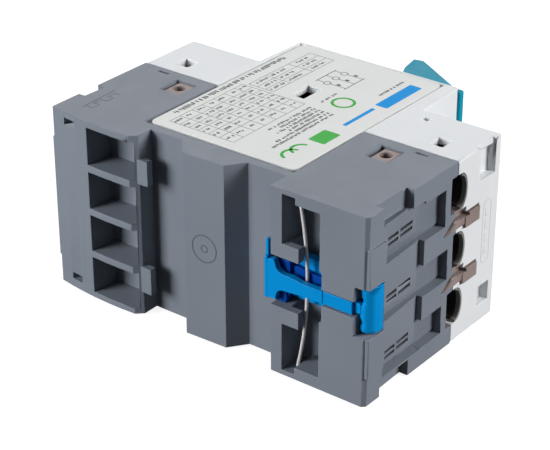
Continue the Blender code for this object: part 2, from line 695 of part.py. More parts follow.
def make_arc_chute(pole, z):
    """Stacked splitter plates held by a back plate, just under the open bridge's travel."""
    low, pitch, thickness, plates = 12.0, 1.45, 0.7, 5
    comb = [(28.9, low)]
    for i in range(plates):
        base = low + pitch * i
        comb += [(35.6, base), (35.6, base + thickness), (30.0, base + thickness), (30.0, base + pitch)]
    comb = comb[:-2] + [(28.9, low + pitch * (plates - 1) + thickness)]
    plate(f"arc_chute_{pole}", comb, "XY", z - 4.4, z + 4.4, "zinc_steel")


def make_trip_coil(pole, z):
    """A ridged winding around the plunger of the magnetic trip."""
    turns = 5
    pitch = 1.7
    low = 12.4
    outside = []
    for turn in range(turns, 0, -1):
        top = low + pitch * turn
        outside += [(4.6, top), (4.6, top - pitch * 0.7), (4.1, top - pitch * 0.8)]
    profile = outside + [(4.1, low), (2.4, low), (2.4, low + pitch * turns)]
    centred = [(radius, height - low) for radius, height in profile]
    turned(f"trip_coil_{pole}", centred, (49.0, low, z), "Y", "copper", steps=20)


def make_plunger(pole, z):
    """The iron plunger that strikes the trip bar at short circuit."""
    plunger = cylinder(f"trip_plunger_{pole}", (49.0, 19.9, z), 2.0, 14.6, "Y", "zinc_steel", sides=16)
    join(plunger, cylinder(f"plunger_head_{pole}", (49.0, 27.0, z), 3.0, 1.0, "Y", sides=16))
    set_origin(plunger, 49.0, 12.6, z)


def make_bimetal(pole, z):
    """The bimetal strip of the overload release, standing on its foot."""
    outline = [(60.6, 12.0), (65.0, 12.0), (65.0, 13.0), (61.4, 13.0), (61.4, 32.6), (60.6, 32.6)]
    plate(f"bimetal_{pole}", outline, "XY", z - 2.2, z + 2.2, "brass")


def make_heater(pole, z):
    """The heater ribbon wound round the bimetal, as a ridged sleeve."""
    sleeve = box(f"heater_{pole}", (59.4, 62.6), (15.0, 26.0), (z - 3.6, z + 3.6), "fibre")
    grooves = [
        box(f"cut_heater_{pole}_{i}", (61.9, 64.0), (16.6 + 2.2 * i, 17.4 + 2.2 * i), (z - 4, z + 4))
        for i in range(4)
    ]
    cut(sleeve, box(f"cut_heater_{pole}", (60.2, 61.75), (10, 30), (z - 2.6, z + 2.6)), *grooves)


# ---------------------------------------------------------------------------
# Mechanism


def make_contact_carrier():
    """The crossbar that holds the three bridges, with the post that the rocker pushes."""
    carrier = box("contact_carrier", (29.4, 35.2), (22.75, 27.6), (2.6, WIDTH - 2.6), "black_plastic")
    bevel(carrier, 0.4, segments=1)
    join(carrier, box("carrier_post", (30.6, 33.8), (27.0, 49.6), (10.6, 13.4)))
    set_origin(carrier, 32.2, 27.6, 22.5)


def make_rocker():
    """The rocker that links both buttons, on a pin across the mechanism bracket."""
    reach = ROCKER_ARM + 2.4
    along_z = (ROCKER_Z - reach, ROCKER_Z + reach)
    pivot = (STEM_X, ROCKER_Y, ROCKER_Z)
    rocker = box("operating_rocker", (30.6, 33.8), (ROCKER_Y - 1.4, ROCKER_Y + 1.4), along_z, "black_plastic")
    bevel(rocker, 0.5, segments=1)
    join(rocker, cylinder("rocker_hub", pivot, 2.6, 3.2, "X", sides=20))
    cut(rocker, cylinder("cut_rocker_bore", pivot, 1.35, 8, "X", sides=20))
    set_origin(rocker, *pivot)


def make_mechanism_bracket():
    """A folded steel bracket that carries the rocker pin."""
    outline = [
        (26.6, 56.0), (26.6, 38.0), (37.8, 38.0), (37.8, 56.0), (36.6, 56.0), (36.6, 39.2),
        (27.8, 39.2), (27.8, 56.0),
    ]
    pivot = (STEM_X, ROCKER_Y, ROCKER_Z)
    bracket = plate("mechanism_bracket", outline, "XY", 17.4, 28.8, "zinc_steel")
    cut(bracket, cylinder("cut_bracket_bore", pivot, 1.35, 16, "X", sides=20))
    cylinder("rocker_pin", pivot, 1.0, 13.0, "X", "zinc_steel", sides=16)


def make_trip_bar():
    """The bar that all three bimetals and plungers push, with one finger for each pole."""
    x, y = TRIP_AXIS
    bar = box("trip_bar", (x - 1.6, x + 1.6), (y - 1.6, y + 1.6), (2.8, WIDTH - 2.8), "white_plastic")
    bevel(bar, 0.4, segments=1)
    extras = [cylinder("trip_bar_stubs", (x, y, WIDTH / 2), 0.9, WIDTH - 4.2, "Z", sides=16)]
    for pole, z in enumerate(POLES, 1):
        extras.append(box(f"trip_shoulder_{pole}", (x, 60.1), (y - 1.2, y - 0.2), (z - 1.6, z + 1.6)))
        extras.append(box(f"trip_finger_{pole}", (59.0, 60.1), (30.6, y - 0.4), (z - 1.6, z + 1.6)))
        extras.append(box(f"trip_paddle_{pole}", (46.5, x - 1.0), (y - 1.2, y - 0.2), (z - 2.0, z + 2.0)))
    join(bar, *extras)
    set_origin(bar, x, y, WIDTH / 2)


def make_label():
    """The printed rating label on the side, in a shallow recess, with a window over the cover's."""
    label = box("side_label", (22.1, 63.1), (8.1, 64.9), (WIDTH - 0.3, WIDTH - 0.02), "paper_label")
    cut(label, box("cut_label_hole", (38.4, 42.3), (39.2, 45.9), (40, 46)))


def main():
    make_rear_base()
    make_front_cover()
    make_fascia()
    make_button("start_button", START_Z, 75.5, "black_plastic")
    make_button("stop_button", STOP_Z, 73.0, "red_plastic")
    make_setting_dial()
    make_trip_tester()
    make_din_clip()
    wire("clip_spring", spring_path(), 0.52, "spring_steel")
    make_inner_frame()
    for pole, z in enumerate(POLES, 1):
        make_line_terminal(pole, z)
        make_load_terminal(pole, z)
        make_bridge(pole, z)
        make_coil_terminal(pole, z)
        make_arc_chute(pole, z)
        make_trip_coil(pole, z)
        make_plunger(pole, z)
        make_bimetal(pole, z)
        make_heater(pole, z)
        for end, x in (("line", SCREW_INSET), ("load", HEIGHT - SCREW_INSET)):
            make_clamp(end, pole, x, z)
            make_screw(end, pole, x, z)
    make_contact_carrier()
    make_rocker()
    make_mechanism_bracket()
    make_trip_bar()
    make_label()


main()
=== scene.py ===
import math
import random

import bmesh
import bpy
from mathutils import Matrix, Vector


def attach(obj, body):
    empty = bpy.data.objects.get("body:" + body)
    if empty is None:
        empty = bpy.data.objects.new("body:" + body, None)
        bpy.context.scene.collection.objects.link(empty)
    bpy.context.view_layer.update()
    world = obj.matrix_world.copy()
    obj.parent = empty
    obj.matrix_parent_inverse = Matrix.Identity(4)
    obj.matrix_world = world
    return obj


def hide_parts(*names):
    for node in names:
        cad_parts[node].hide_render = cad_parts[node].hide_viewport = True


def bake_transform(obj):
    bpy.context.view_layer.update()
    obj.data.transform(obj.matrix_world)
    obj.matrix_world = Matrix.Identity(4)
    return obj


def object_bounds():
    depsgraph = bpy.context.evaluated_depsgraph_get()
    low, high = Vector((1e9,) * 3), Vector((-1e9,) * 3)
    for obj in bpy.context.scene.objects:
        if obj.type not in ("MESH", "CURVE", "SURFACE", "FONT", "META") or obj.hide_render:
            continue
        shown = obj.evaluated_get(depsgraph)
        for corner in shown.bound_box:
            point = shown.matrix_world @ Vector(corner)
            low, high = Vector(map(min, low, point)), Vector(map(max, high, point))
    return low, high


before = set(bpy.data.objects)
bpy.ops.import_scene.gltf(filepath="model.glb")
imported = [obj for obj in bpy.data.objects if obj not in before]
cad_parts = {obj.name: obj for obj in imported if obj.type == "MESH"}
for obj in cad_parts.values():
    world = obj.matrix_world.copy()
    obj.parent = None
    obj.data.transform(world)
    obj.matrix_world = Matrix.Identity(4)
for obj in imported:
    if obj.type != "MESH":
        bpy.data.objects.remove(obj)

CAD_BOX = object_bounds()

MM = 0.001
ORIGIN = Vector((44.0, 38.75, 0.0))  # the frame's origin, as a point of the drawing frame
WIDTH = 45.0
HEIGHT = 88.0

WELD = 0.000004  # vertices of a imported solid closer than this, in metres, become one
FLAT_ANGLE = math.radians(0.5)  # facets that turn less than this become one face
BEVEL_ANGLE = math.radians(30.0)  # edges that turn more than this are rounded
CREASE_ANGLE = math.radians(38.0)  # edges that still turn more than this are shaded sharp
ROUND_CREASE = math.radians(50.0)  # the same on lofted round pieces
BEVEL_ROOM = 2.2  # room that an edge needs beside it, in widths of its rounding

LABEL_TOP = 44.98
PRINT_TOP = 45.0
FILM = 0.45  # thickness of the label film
MARK_SUNK = 0.02  # how far a moulded mark reaches into the face it stands on
MARK_PROUD = 0.03  # how far it stands out
BULGE_MARK = (44.2, 23.2)  # centre of the round mark on the rear bulge
BULGE_TILT = 0.036  # slope of the bulge there

POLES = (37.2, 23.1, 9.0)  # middles of the cable mouths across the width
MOUTH_DEPTH = 34.7  # the flat side of every mouth
MOUTH_RISE = 2.45  # how far the arc of a mouth stands over its flat side
MOUTH_HALF = 4.38  # half the width of a mouth
VENTS = (36.0, 22.4, 8.8)  # middles of the vent groups across the width

WIRE_MIDDLE = 22.5  # where the clip pushes the wire
WIRE_HALF = 20.9  # half the span of the bow
WIRE_FOOT = 68.4  # where the bow starts, along the device height
WIRE_BOW = 2.4
WIRE_DEPTH = 2.9
WIRE_RADIUS = 0.40

AMBIENT = 0.08  # strength of the light from all round


def at(x, y, z):
    """A point of the drawing frame in the frame's metres."""
    return (Vector((x, y, z)) - ORIGIN) * MM


# ---------------------------------------------------------------------------
# Materials


def new_material(name):
    material = bpy.data.materials.new(name)
    material.use_nodes = True
    tree = material.node_tree
    return material, tree, tree.nodes["Principled BSDF"]


def coordinates(tree):
    return tree.nodes.new("ShaderNodeTexCoord").outputs["Object"]


def noise(tree, vector, scale, detail=2.0, roughness=0.5):
    node = tree.nodes.new("ShaderNodeTexNoise")
    node.inputs["Scale"].default_value = scale
    node.inputs["Detail"].default_value = detail
    node.inputs["Roughness"].default_value = roughness
    tree.links.new(vector, node.inputs["Vector"])
    return node.outputs["Fac"]


def spread(tree, value, low, high):
    """Maps the middle of a noise on to a range."""
    node = tree.nodes.new("ShaderNodeMapRange")
    node.inputs["From Min"].default_value = 0.3
    node.inputs["From Max"].default_value = 0.7
    node.inputs["To Min"].default_value = low
    node.inputs["To Max"].default_value = high
    tree.links.new(value, node.inputs["Value"])
    return node.outputs["Result"]


def two_tone(tree, factor, dark, light):
    node = tree.nodes.new("ShaderNodeMix")
    node.data_type = "RGBA"
    node.inputs["A"].default_value = (*dark, 1.0)
    node.inputs["B"].default_value = (*light, 1.0)
    tree.links.new(factor, node.inputs["Factor"])
    return node.outputs["Result"]


def bump(tree, shader, height, distance):
    node = tree.nodes.new("ShaderNodeBump")
    node.inputs["Distance"].default_value = distance
    node.inputs["Strength"].default_value = 1.0
    tree.links.new(height, node.inputs["Height"])
    tree.links.new(node.outputs["Normal"], shader.inputs["Normal"])


def plastic(name, colour, roughness, mottle=0.04, grain=2400.0, depth=0.000006, specular=0.5):
    """Moulded plastic: faint flow mottling, a fine spark-eroded grain and uneven gloss."""
    material, tree, shader = new_material(name)
    vector = coordinates(tree)
    broad = noise(tree, vector, 38.0, detail=3.0)
    fine = noise(tree, vector, grain, detail=2.0)
    gloss = noise(tree, vector, 260.0, detail=3.0, roughness=0.6)
    dark = tuple(c * (1.0 - mottle) for c in colour)
    light = tuple(min(1.0, c * (1.0 + mottle)) for c in colour)
    mottled = two_tone(tree, spread(tree, broad, 0.0, 1.0), dark, light)
    tree.links.new(mottled, shader.inputs["Base Color"])
    tree.links.new(spread(tree, gloss, roughness - 0.05, roughness + 0.05), shader.inputs["Roughness"])
    shader.inputs["Specular IOR Level"].default_value = specular
    bump(tree, shader, fine, depth)
    return material


def metal(name, colour, roughness):
    """Plated or drawn metal: a fine uneven finish and patchy brightness."""
    material, tree, shader = new_material(name)
    finish = noise(tree, coordinates(tree), 900.0, detail=3.0)
    patches = noise(tree, coordinates(tree), 170.0, detail=2.0)
    dark = tuple(c * 0.82 for c in colour)
    patched = two_tone(tree, spread(tree, patches, 0.0, 1.0), dark, colour)
    tree.links.new(patched, shader.inputs["Base Color"])
    tree.links.new(spread(tree, finish, roughness - 0.08, roughness + 0.10), shader.inputs["Roughness"])
    shader.inputs["Metallic"].default_value = 1.0
    bump(tree, shader, finish, 0.000003)
    return material


def winding(name):
    """Enamelled wire, seen as close turns around the coil's axis."""
    material, tree, shader = new_material(name)
    wave = tree.nodes.new("ShaderNodeTexWave")
    wave.bands_direction = "Y"
    wave.inputs["Scale"].default_value = 330.0
    wave.inputs["Distortion"].default_value = 0.4
    tree.links.new(coordinates(tree), wave.inputs["Vector"])
    turns = two_tone(tree, wave.outputs["Fac"], (0.20, 0.06, 0.02), (0.66, 0.27, 0.11))
    tree.links.new(turns, shader.inputs["Base Color"])
    shader.inputs["Metallic"].default_value = 0.85
    shader.inputs["Roughness"].default_value = 0.3
    bump(tree, shader, wave.outputs["Fac"], 0.00012)
    return material


def woven(name, dark, light):
    """Woven fibre sleeve: crossed bands of thread."""
    material, tree, shader = new_material(name)
    vector = coordinates(tree)
    bands = []
    for direction in ("DIAGONAL", "Y"):
        wave = tree.nodes.new("ShaderNodeTexWave")
        wave.bands_direction = direction
        wave.inputs["Scale"].default_value = 420.0
        tree.links.new(vector, wave.inputs["Vector"])
        bands.append(wave.outputs["Fac"])
    weave = tree.nodes.new("ShaderNodeMath")
    weave.operation = "MULTIPLY"
    tree.links.new(bands[0], weave.inputs[0])
    tree.links.new(bands[1], weave.inputs[1])
    tree.links.new(two_tone(tree, weave.outputs["Value"], dark, light), shader.inputs["Base Color"])
    shader.inputs["Roughness"].default_value = 0.85
    bump(tree, shader, weave.outputs["Value"], 0.00008)
    return material


GREY = plastic("grey_plastic", (0.182, 0.205, 0.240), 0.58, mottle=0.05, specular=0.30)
WHITE = plastic("white_plastic", (0.71, 0.725, 0.74), 0.55, mottle=0.02, specular=0.25)
TEAL = plastic("teal_plastic", (0.005, 0.27, 0.40), 0.55, mottle=0.05, specular=0.12)
BLUE = plastic("blue_plastic", (0.000, 0.250, 0.62), 0.34, mottle=0.06, depth=0.000003, specular=0.15)
BROWN = plastic("brown_plastic", (0.255, 0.195, 0.180), 0.52, mottle=0.10, grain=1500.0)
BLACK = plastic("black_plastic", (0.018, 0.018, 0.020), 0.38, mottle=0.08)
RED = plastic("red_plastic", (0.58, 0.018, 0.015), 0.32, mottle=0.05)
DIAL = plastic("dial_plastic", (0.82, 0.82, 0.80), 0.30, mottle=0.02)
# Dark blue: the clip blue with painted shade, for the clip's recesses and shaded walls.
PAINTED_SHADE_BLUE = plastic(
    "blue_shadow_side", (0.000, 0.050, 0.30), 0.45, mottle=0.06, depth=0.000003, specular=0.1
)
LABEL = plastic(
    "label_film", (0.71, 0.72, 0.705), 0.60, mottle=0.015, grain=3600.0, depth=0.000002, specular=0.15
)
INK = plastic("label_ink", (0.10, 0.10, 0.11), 0.60, mottle=0.10, specular=0.1)
INK_BLUE = plastic("label_ink_blue", (0.000, 0.28, 0.70), 0.60, mottle=0.04, specular=0.08)
INK_GREEN = plastic("label_ink_green", (0.060, 0.42, 0.070), 0.60, mottle=0.05, specular=0.08)
ZINC = metal("zinc_steel", (0.62, 0.62, 0.60), 0.34)
WIRE = plastic("spring_wire", (0.66, 0.63, 0.62), 0.30, mottle=0.05, grain=900.0)
BRASS = metal("brass_bar", (0.74, 0.53, 0.24), 0.30)
COPPER = metal("copper_bridge", (0.72, 0.36, 0.22), 0.33)
WINDING = winding("copper_winding")
# The lip grey and the near-black below it are painted shade: the shaded white wall of each mouth, and the
# dark inside of the mouths and vents.
LIP_PAINTED_SHADE = plastic("mouth_lip_plastic", (0.20, 0.195, 0.185), 0.50, mottle=0.05)
PAINTED_SHADE_BLACK = plastic("shroud_plastic", (0.016, 0.015, 0.016), 0.65, mottle=0.10, specular=0.2)
# Colours of the moulded marks, darker than the plastic they stand on: painted shade of their relief.
SHADE = plastic("moulded_mark_painted_shade", (0.085, 0.095, 0.112), 0.55, mottle=0.05)
PALE_PAINTED_SHADE = plastic("pale_mark_painted_shade", (0.60, 0.61, 0.62), 0.50, mottle=0.03)
SLEEVE = woven("heater_sleeve", (0.30, 0.22, 0.13), (0.70, 0.58, 0.42))

SLOTS = {
    "grey_housing": GREY, "white_housing": WHITE, "teal_plate": TEAL, "label": LABEL,
    "brown_frame": BROWN, "blue_clip": BLUE, "spring_wire": WIRE, "zinc_steel": ZINC,
    "black_plastic": BLACK, "red_button": RED, "white_dial": DIAL, "brass_bar": BRASS,
    "copper_winding": WINDING, "copper_bridge": COPPER, "heater_sleeve": SLEEVE,
}


def slot_of(node):
    """The record's material slot of a node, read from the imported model."""
    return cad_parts[node].material_slots[0].material.name.split(".")[0]


NODE_SLOTS = {name: slot_of(name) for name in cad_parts}
for node_name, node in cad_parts.items():
    for holder in node.material_slots:
        holder.material = SLOTS[NODE_SLOTS[node_name]]


# ---------------------------------------------------------------------------
# Piece helpers


def add_piece(name, mesh, material, body, node=None):
    """Adds a visible piece, attached to its body when one is given."""
    obj = bpy.data.objects.new(name, mesh)
    bpy.context.scene.collection.objects.link(obj)
    mesh.materials.clear()
    mesh.materials.append(material)
    if body:
        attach(obj, body)
    if node:
        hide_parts(node)
    return obj


def settle(obj):
    """Turns an object's modifiers into its mesh."""
    depsgraph = bpy.context.evaluated_depsgraph_get()
    mesh = bpy.data.meshes.new_from_object(obj.evaluated_get(depsgraph))
    obj.modifiers.clear()
    obj.data = mesh


def closest_on_segment(point, start, end):
    line = end - start
    share = (point - start).dot(line) / max(line.length_squared, 1e-18)
    return start + line * min(1.0, max(0.0, share))


def segment_gap(a, b, c, d):
    """About the least distance between the segments ab and cd, from their ends and middles."""
    pairs = ((a, c, d), (b, c, d), ((a + b) / 2, c, d), (c, a, b), (d, a, b), ((c + d) / 2, a, b))
    return min((p - closest_on_segment(p, q, r)).length for p, q, r in pairs)


def has_room(edge, gap):
    """Whether both faces beside an edge are wide enough there to round it."""
    for face in edge.link_faces:
        for other in face.edges:
            if other == edge:
                continue
            shared = set(edge.verts) & set(other.verts)
            if shared:
                if other.calc_length() < gap:
                    return False
                continue
            ends = [v.co for v in edge.verts] + [v.co for v in other.verts]
            if segment_gap(*ends) < gap:
                return False
    return edge.calc_length() > gap


def inside(edge, boxes):
    """Whether the whole edge lies in one of the boxes, each a pair of corners in metres."""
    def held(low, high):
        return all(low[i] <= vert.co[i] <= high[i] for vert in edge.verts for i in range(3))
    return any(held(low, high) for low, high in boxes)


def soften(obj, width, segments=3, crisp=()):
    """Rounds the edges that have room for it, and smooths the shading between flat faces."""
    bm = bmesh.new()
    bm.from_mesh(obj.data)
    weights = bm.edges.layers.float.new("bevel_weight_edge")
    for edge in bm.edges:
        if len(edge.link_faces) != 2 or edge.calc_face_angle(0.0) < BEVEL_ANGLE:
            continue
        if has_room(edge, BEVEL_ROOM * width * MM) and not inside(edge, crisp):
            edge[weights] = 1.0
    bm.to_mesh(obj.data)
    bm.free()
    obj.data.shade_smooth()
    rounding = obj.modifiers.new("rounding", "BEVEL")
    rounding.width = width * MM
    rounding.segments = segments
    rounding.limit_method = "WEIGHT"
    rounding.use_clamp_overlap = False
    rounding.miter_outer = "MITER_ARC"
    settle(obj)
    obj.data.set_sharp_from_angle(angle=CREASE_ANGLE)
    weighting = obj.modifiers.new("weighting", "WEIGHTED_NORMAL")
    weighting.keep_sharp = True
    weighting.weight = 80
    return obj


def welded(node):
    """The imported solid's mesh with its seams closed and its flat faces made whole."""
    bm = bmesh.new()
    bm.from_mesh(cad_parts[node].data)
    bmesh.ops.remove_doubles(bm, verts=bm.verts, dist=WELD)
    bmesh.ops.dissolve_limit(bm, angle_limit=FLAT_ANGLE, verts=bm.verts, edges=bm.edges)
    mesh = bpy.data.meshes.new(f"{node}_mesh")
    bm.to_mesh(mesh)
    bm.free()
    return mesh


def refined(node, material, body, width, crisp=()):
    """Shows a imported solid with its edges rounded, in place of the solid itself."""
    obj = add_piece(f"{node}_skin", welded(node), material, body, node=node)
    return soften(obj, width, crisp=crisp)


# Places whose edges stay crisp: the two latch holes, and the cells with their vents at both ends.
CRISP_BOXES = [(at(3.8, -3.0, z), at(7.9, 4.5, z + 2.5)) for z in (1.8, 41.5)]
CRISP_BOXES += [(at(wall - 1.0, 6.3, 4.3), at(wall + 5.0, 31.0, 41.0)) for wall in (0.0, 84.0)]

refined("rear_base", GREY, "housing", 0.16, CRISP_BOXES)
refined("front_cover", WHITE, "housing", 0.16)
refined("fascia", TEAL, "housing", 0.25)
refined("inner_frame", BROWN, "housing", 0.10)
refined("start_button", BLACK, "start_button", 0.2)
refined("stop_button", RED, "stop_button", 0.2)
refined("setting_dial", DIAL, "setting_dial", 0.15)
refined("trip_tester", RED, "trip_tester", 0.12)


# ---------------------------------------------------------------------------
# Shapes drawn in the drawing frame


def prism(bm, outline, axis, low, high):
    """Adds one closed slab: a flat outline standing between low and high on an axis."""
    def point(u, v, w):
        return at(*{"X": (w, u, v), "Y": (u, w, v), "Z": (u, v, w)}[axis])
    rings = [[bm.verts.new(point(u, v, w)) for u, v in outline] for w in (low, high)]
    bm.faces.new(rings[0])
    bm.faces.new(rings[1])
    for i in range(len(outline)):
        j = (i + 1) % len(outline)
        bm.faces.new((rings[0][i], rings[0][j], rings[1][j], rings[1][i]))


def closed_mesh(name, bm):
    """The mesh of finished closed shapes, with their faces turned outward."""
    bmesh.ops.recalc_face_normals(bm, faces=bm.faces)
    mesh = bpy.data.meshes.new(name)
    bm.to_mesh(mesh)
    bm.free()
    return mesh


def mesh_of(name, slabs):
    """One mesh of several slabs, each (outline, axis, low, high)."""
    bm = bmesh.new()
    for slab in slabs:
        prism(bm, *slab)
    return closed_mesh(name, bm)


def loft(name, rings):
    """A closed round-shaded body over rings of points, each ring with as many points."""
    bm = bmesh.new()
    loops = [[bm.verts.new(point) for point in ring] for ring in rings]
    for one, two in zip(loops, loops[1:]):
        for side in range(len(one)):
            after = (side + 1) % len(one)
            bm.faces.new((one[side], one[after], two[after], two[side]))
    bm.faces.new(loops[0])
    bm.faces.new(loops[-1])
    mesh = closed_mesh(name, bm)
    mesh.shade_smooth()
    mesh.set_sharp_from_angle(angle=ROUND_CREASE)
    return mesh


def rectangle(x, y):
    return [(x[0], y[0]), (x[1], y[0]), (x[1], y[1]), (x[0], y[1])]


def rounded(x, y, radius):
    """A rectangle with round corners."""
    steps = 5
    outline = []
    for right, top, start in ((1, 1, 0), (0, 1, 90), (0, 0, 180), (1, 0, 270)):
        middle_x = x[1] - radius if right else x[0] + radius
        middle_y = y[1] - radius if top else y[0] + radius
        for step in range(steps + 1):
            turn = math.radians(start + 90.0 * step / steps)
            outline.append((middle_x + radius * math.cos(turn), middle_y + radius * math.sin(turn)))
    return outline


def arc_band(centre, inner, outer, start, end, steps=16):
    """A band between two circles, from one angle to another, in degrees."""
    def arc(radius, turns):
        return [(centre[0] + radius * math.cos(a), centre[1] + radius * math.sin(a)) for a in turns]
    angles = [math.radians(start + (end - start) * step / steps) for step in range(steps + 1)]
    return arc(outer, angles) + arc(inner, reversed(angles))


# ---------------------------------------------------------------------------
# Label film and its plain print


def make_film():
    """The label film with its small window, cut right through."""
    outline = rounded((22.7, 63.0), (8.5, 65.0), 1.5)
    mesh = mesh_of("film", [(outline, "Z", LABEL_TOP - FILM, LABEL_TOP)])
    film = add_piece("label_film", mesh, LABEL, "housing", node="side_label")
    cutter = mesh_of("window", [(rectangle((38.5, 42.4), (39.1, 46.0)), "Z", 40, 50)])
    window = bpy.data.objects.new("window", cutter)
    bpy.context.scene.collection.objects.link(window)
    opening = film.modifiers.new("opening", "BOOLEAN")
    opening.solver = "EXACT"
    opening.object = window
    settle(film)
    bpy.data.objects.remove(window)


def printed(outline):
    """One printed shape on the film."""
    return (outline, "Z", LABEL_TOP, PRINT_TOP)


def print_rect(x, y):
    return printed(rectangle(x, y))


def text_line(x, y_range, rng, size):
    """A row of short upright dashes that stands for a line of small print."""
    slabs = []
    y = y_range[1]
    while y > y_range[0]:
        length = rng.choice((0.35, 0.45, 0.55))
        tall = size * rng.choice((0.7, 0.85, 1.0))
        offset = rng.choice((0.0, size - tall))
        slabs.append(print_rect((x + offset, x + offset + tall), (y - length, y)))
        y -= length + rng.choice((0.22, 0.22, 0.30, 0.75))
    return slabs


def table(x_lines, y_lines, line=0.10):
    """Ruled lines of a table."""
    rules = [print_rect((x - line / 2, x + line / 2), (y_lines[0], y_lines[-1])) for x in x_lines]
    rules += [print_rect((x_lines[0], x_lines[-1]), (y - line / 2, y + line / 2)) for y in y_lines]
    return rules


def add_print(tone, slabs, ink):
    mesh = mesh_of("print", slabs)
    add_piece(f"label_print_{tone}", mesh, ink, "housing")


def make_print():
    """Plain print: two ruled tables, lines of dashes for text, a small circuit and four coloured marks."""
    rng = random.Random(7)
    rows = (11.3, 14.8, 18.8, 22.4, 26.4, 30.2, 34.0, 37.0)
    black = table((26.2, 29.1, 31.7, 34.3, 37.2, 40.3, 44.3), rows)
    black += table((27.3, 29.8, 32.2, 34.5), (38.0, 44.5, 53.0, 61.5))
    black += text_line(23.5, (15.5, 55.6), rng, 1.3)
    for x in (27.0, 29.9, 32.6, 35.2, 38.2, 41.6):
        for y in (11.9, 15.6, 19.4, 23.2, 27.2, 31.0, 34.4):
            black += text_line(x, (y, y + rng.choice((1.4, 1.8, 2.2))), rng, 0.8)
    for x in (28.0, 30.5, 32.9):
        for y in (39.0, 45.6, 54.4):
            black += text_line(x, (y, y + 4.6), rng, 0.8)
    for i, low in enumerate((20.8, 23.0, 21.0, 23.0, 17.0, 14.5)):
        black += text_line(46.0 + 1.25 * i, (low, 36.3), rng, 0.75)
    black += text_line(54.6, (51.3, 60.7), rng, 0.7)
    black += text_line(46.3, (40.0, 46.0), rng, 0.7)
    for y in (49.6, 53.0, 56.4):
        black += [print_rect(x, (y - 0.08, y + 0.08)) for x in ((38.4, 40.2), (42.2, 46.6))]
        black += [printed(arc_band((41.3, y), 0.75, 0.95, 0, 360, 20))]
        black += [print_rect((43.6, 44.6), (y + 0.3, y + 1.0))]
    black += [print_rect((46.5, 46.7), (49.0, 57.0)), print_rect((38.3, 38.5), (49.0, 57.0))]
    add_print("dark", black, INK)

    green = [printed(arc_band((50.8, 42.8), 2.2, 2.9, 0, 359, 36))]
    green += [printed(rounded((56.0, 60.4), (22.4, 28.6), 0.5))]
    green += [printed(arc_band((58.1, y), 2.1, 2.8, 100, 260)) for y in (14.4, 17.6)]
    add_print("green", green, INK_GREEN)

    blue = [printed(rounded((57.1, 60.4), (46.2, 60.5), 0.3)), print_rect((57.6, 58.6), (33.0, 44.3))]
    add_print("blue", blue, INK_BLUE)


make_film()
make_print()


# ---------------------------------------------------------------------------
# Rail clip


def smooth_path(points, steps=6):
    """A curve through the points, denser than they are."""
    path = []
    for i in range(len(points) - 1):
        a, b, c, d = (Vector(points[min(max(k, 0), len(points) - 1)]) for k in (i - 1, i, i + 1, i + 2))
        for step in range(steps):
            t = step / steps
            square = (2 * a - 5 * b + 4 * c - d) * t * t
            cube = (3 * b - a - 3 * c + d) * t ** 3
            path.append(tuple(0.5 * ((2 * b) + (c - a) * t + square + cube)))
    return path + [tuple(points[-1])]


def slab_piece(name, outline, axis, low, high, material, width=0.12):
    """A slab with rounded edges, riding on the clip."""
    mesh = mesh_of(name, [(outline, axis, low, high)])
    piece = add_piece(name, mesh, material, "din_clip")
    return soften(piece, width)


def make_clip():
    """The clip: nose, scalloped top layer with its arm, deep sheet under it, and the finger; the dark blue
    pieces in its recesses are painted shade.
    """
    upper = smooth_path([
        (61.75, 27.0), (63.6, 27.2), (64.4, 25.4), (66.0, 24.5), (68.4, 24.45), (71.0, 24.0),
    ])
    lower = smooth_path([
        (72.2, 21.0), (69.4, 20.8), (67.2, 20.6), (65.3, 20.4), (64.3, 19.3), (64.1, 17.9),
    ])
    outline = upper + [(76.4, 24.0), (76.4, 21.05)] + lower + [(61.75, 17.7)]
    plate = slab_piece("clip_plate", outline, "Y", 0.5, 2.0, BLUE)
    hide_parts("din_clip")
    slab_piece("clip_arm", rectangle((76.45, 83.9), (21.05, 24.05)), "Y", 0.62, 2.3, BLUE)
    slab_piece("clip_arm_end", rectangle((83.95, 85.5), (21.3, 23.8)), "Y", 1.5, 3.2, BLUE)
    # The arm rib and the shoulder are dark blue: painted shade.
    slab_piece("clip_arm_rib", rectangle((74.6, 85.6), (21.5, 24.0)), "Y", 1.9, 3.2, PAINTED_SHADE_BLUE, 0.1)
    slab_piece("clip_nose", rectangle((61.05, 61.95), (17.5, 27.6)), "Y", 0.45, 5.1, BLUE, 0.2)
    slab_piece("clip_nose_tip", rectangle((61.05, 61.85), (27.3, 31.3)), "Y", 1.05, 2.6, BLUE, 0.15)
    slab_piece("clip_shoulder", rectangle((61.8, 66.4), (18.4, 26.8)), "Y", 2.6, 6.3, PAINTED_SHADE_BLUE, 0.2)
    slab_piece("clip_sheet", rectangle((62.4, 76.2), (17.3, 28.3)), "Y", 4.7, 6.4, BLUE, 0.15)
    # The scoop and the foot are dark blue: painted shade in the clip's hollows.
    scoop = smooth_path([
        (62.0, 27.6), (62.9, 28.2), (63.8, 27.6), (64.6, 26.2),
        (66.0, 25.6), (68.4, 25.6), (72.0, 25.2), (75.8, 25.1),
    ])
    scoop = scoop + [(75.8, 20.6), (67.0, 20.6), (64.3, 22.0), (62.0, 22.0)]
    slab_piece("clip_scoop", scoop, "Y", 3.5, 4.6, PAINTED_SHADE_BLUE, 0.1)
    edge = [(62.0, 16.9), (63.1, 16.6), (63.6, 17.3), (64.6, 16.3), (65.6, 16.9), (65.9, 18.2), (65.6, 19.8)]
    foot = smooth_path(edge) + [(64.6, 20.6), (62.0, 20.6)]
    slab_piece("clip_foot", foot, "Y", 2.1, 4.4, PAINTED_SHADE_BLUE, 0.08)
    make_finger()


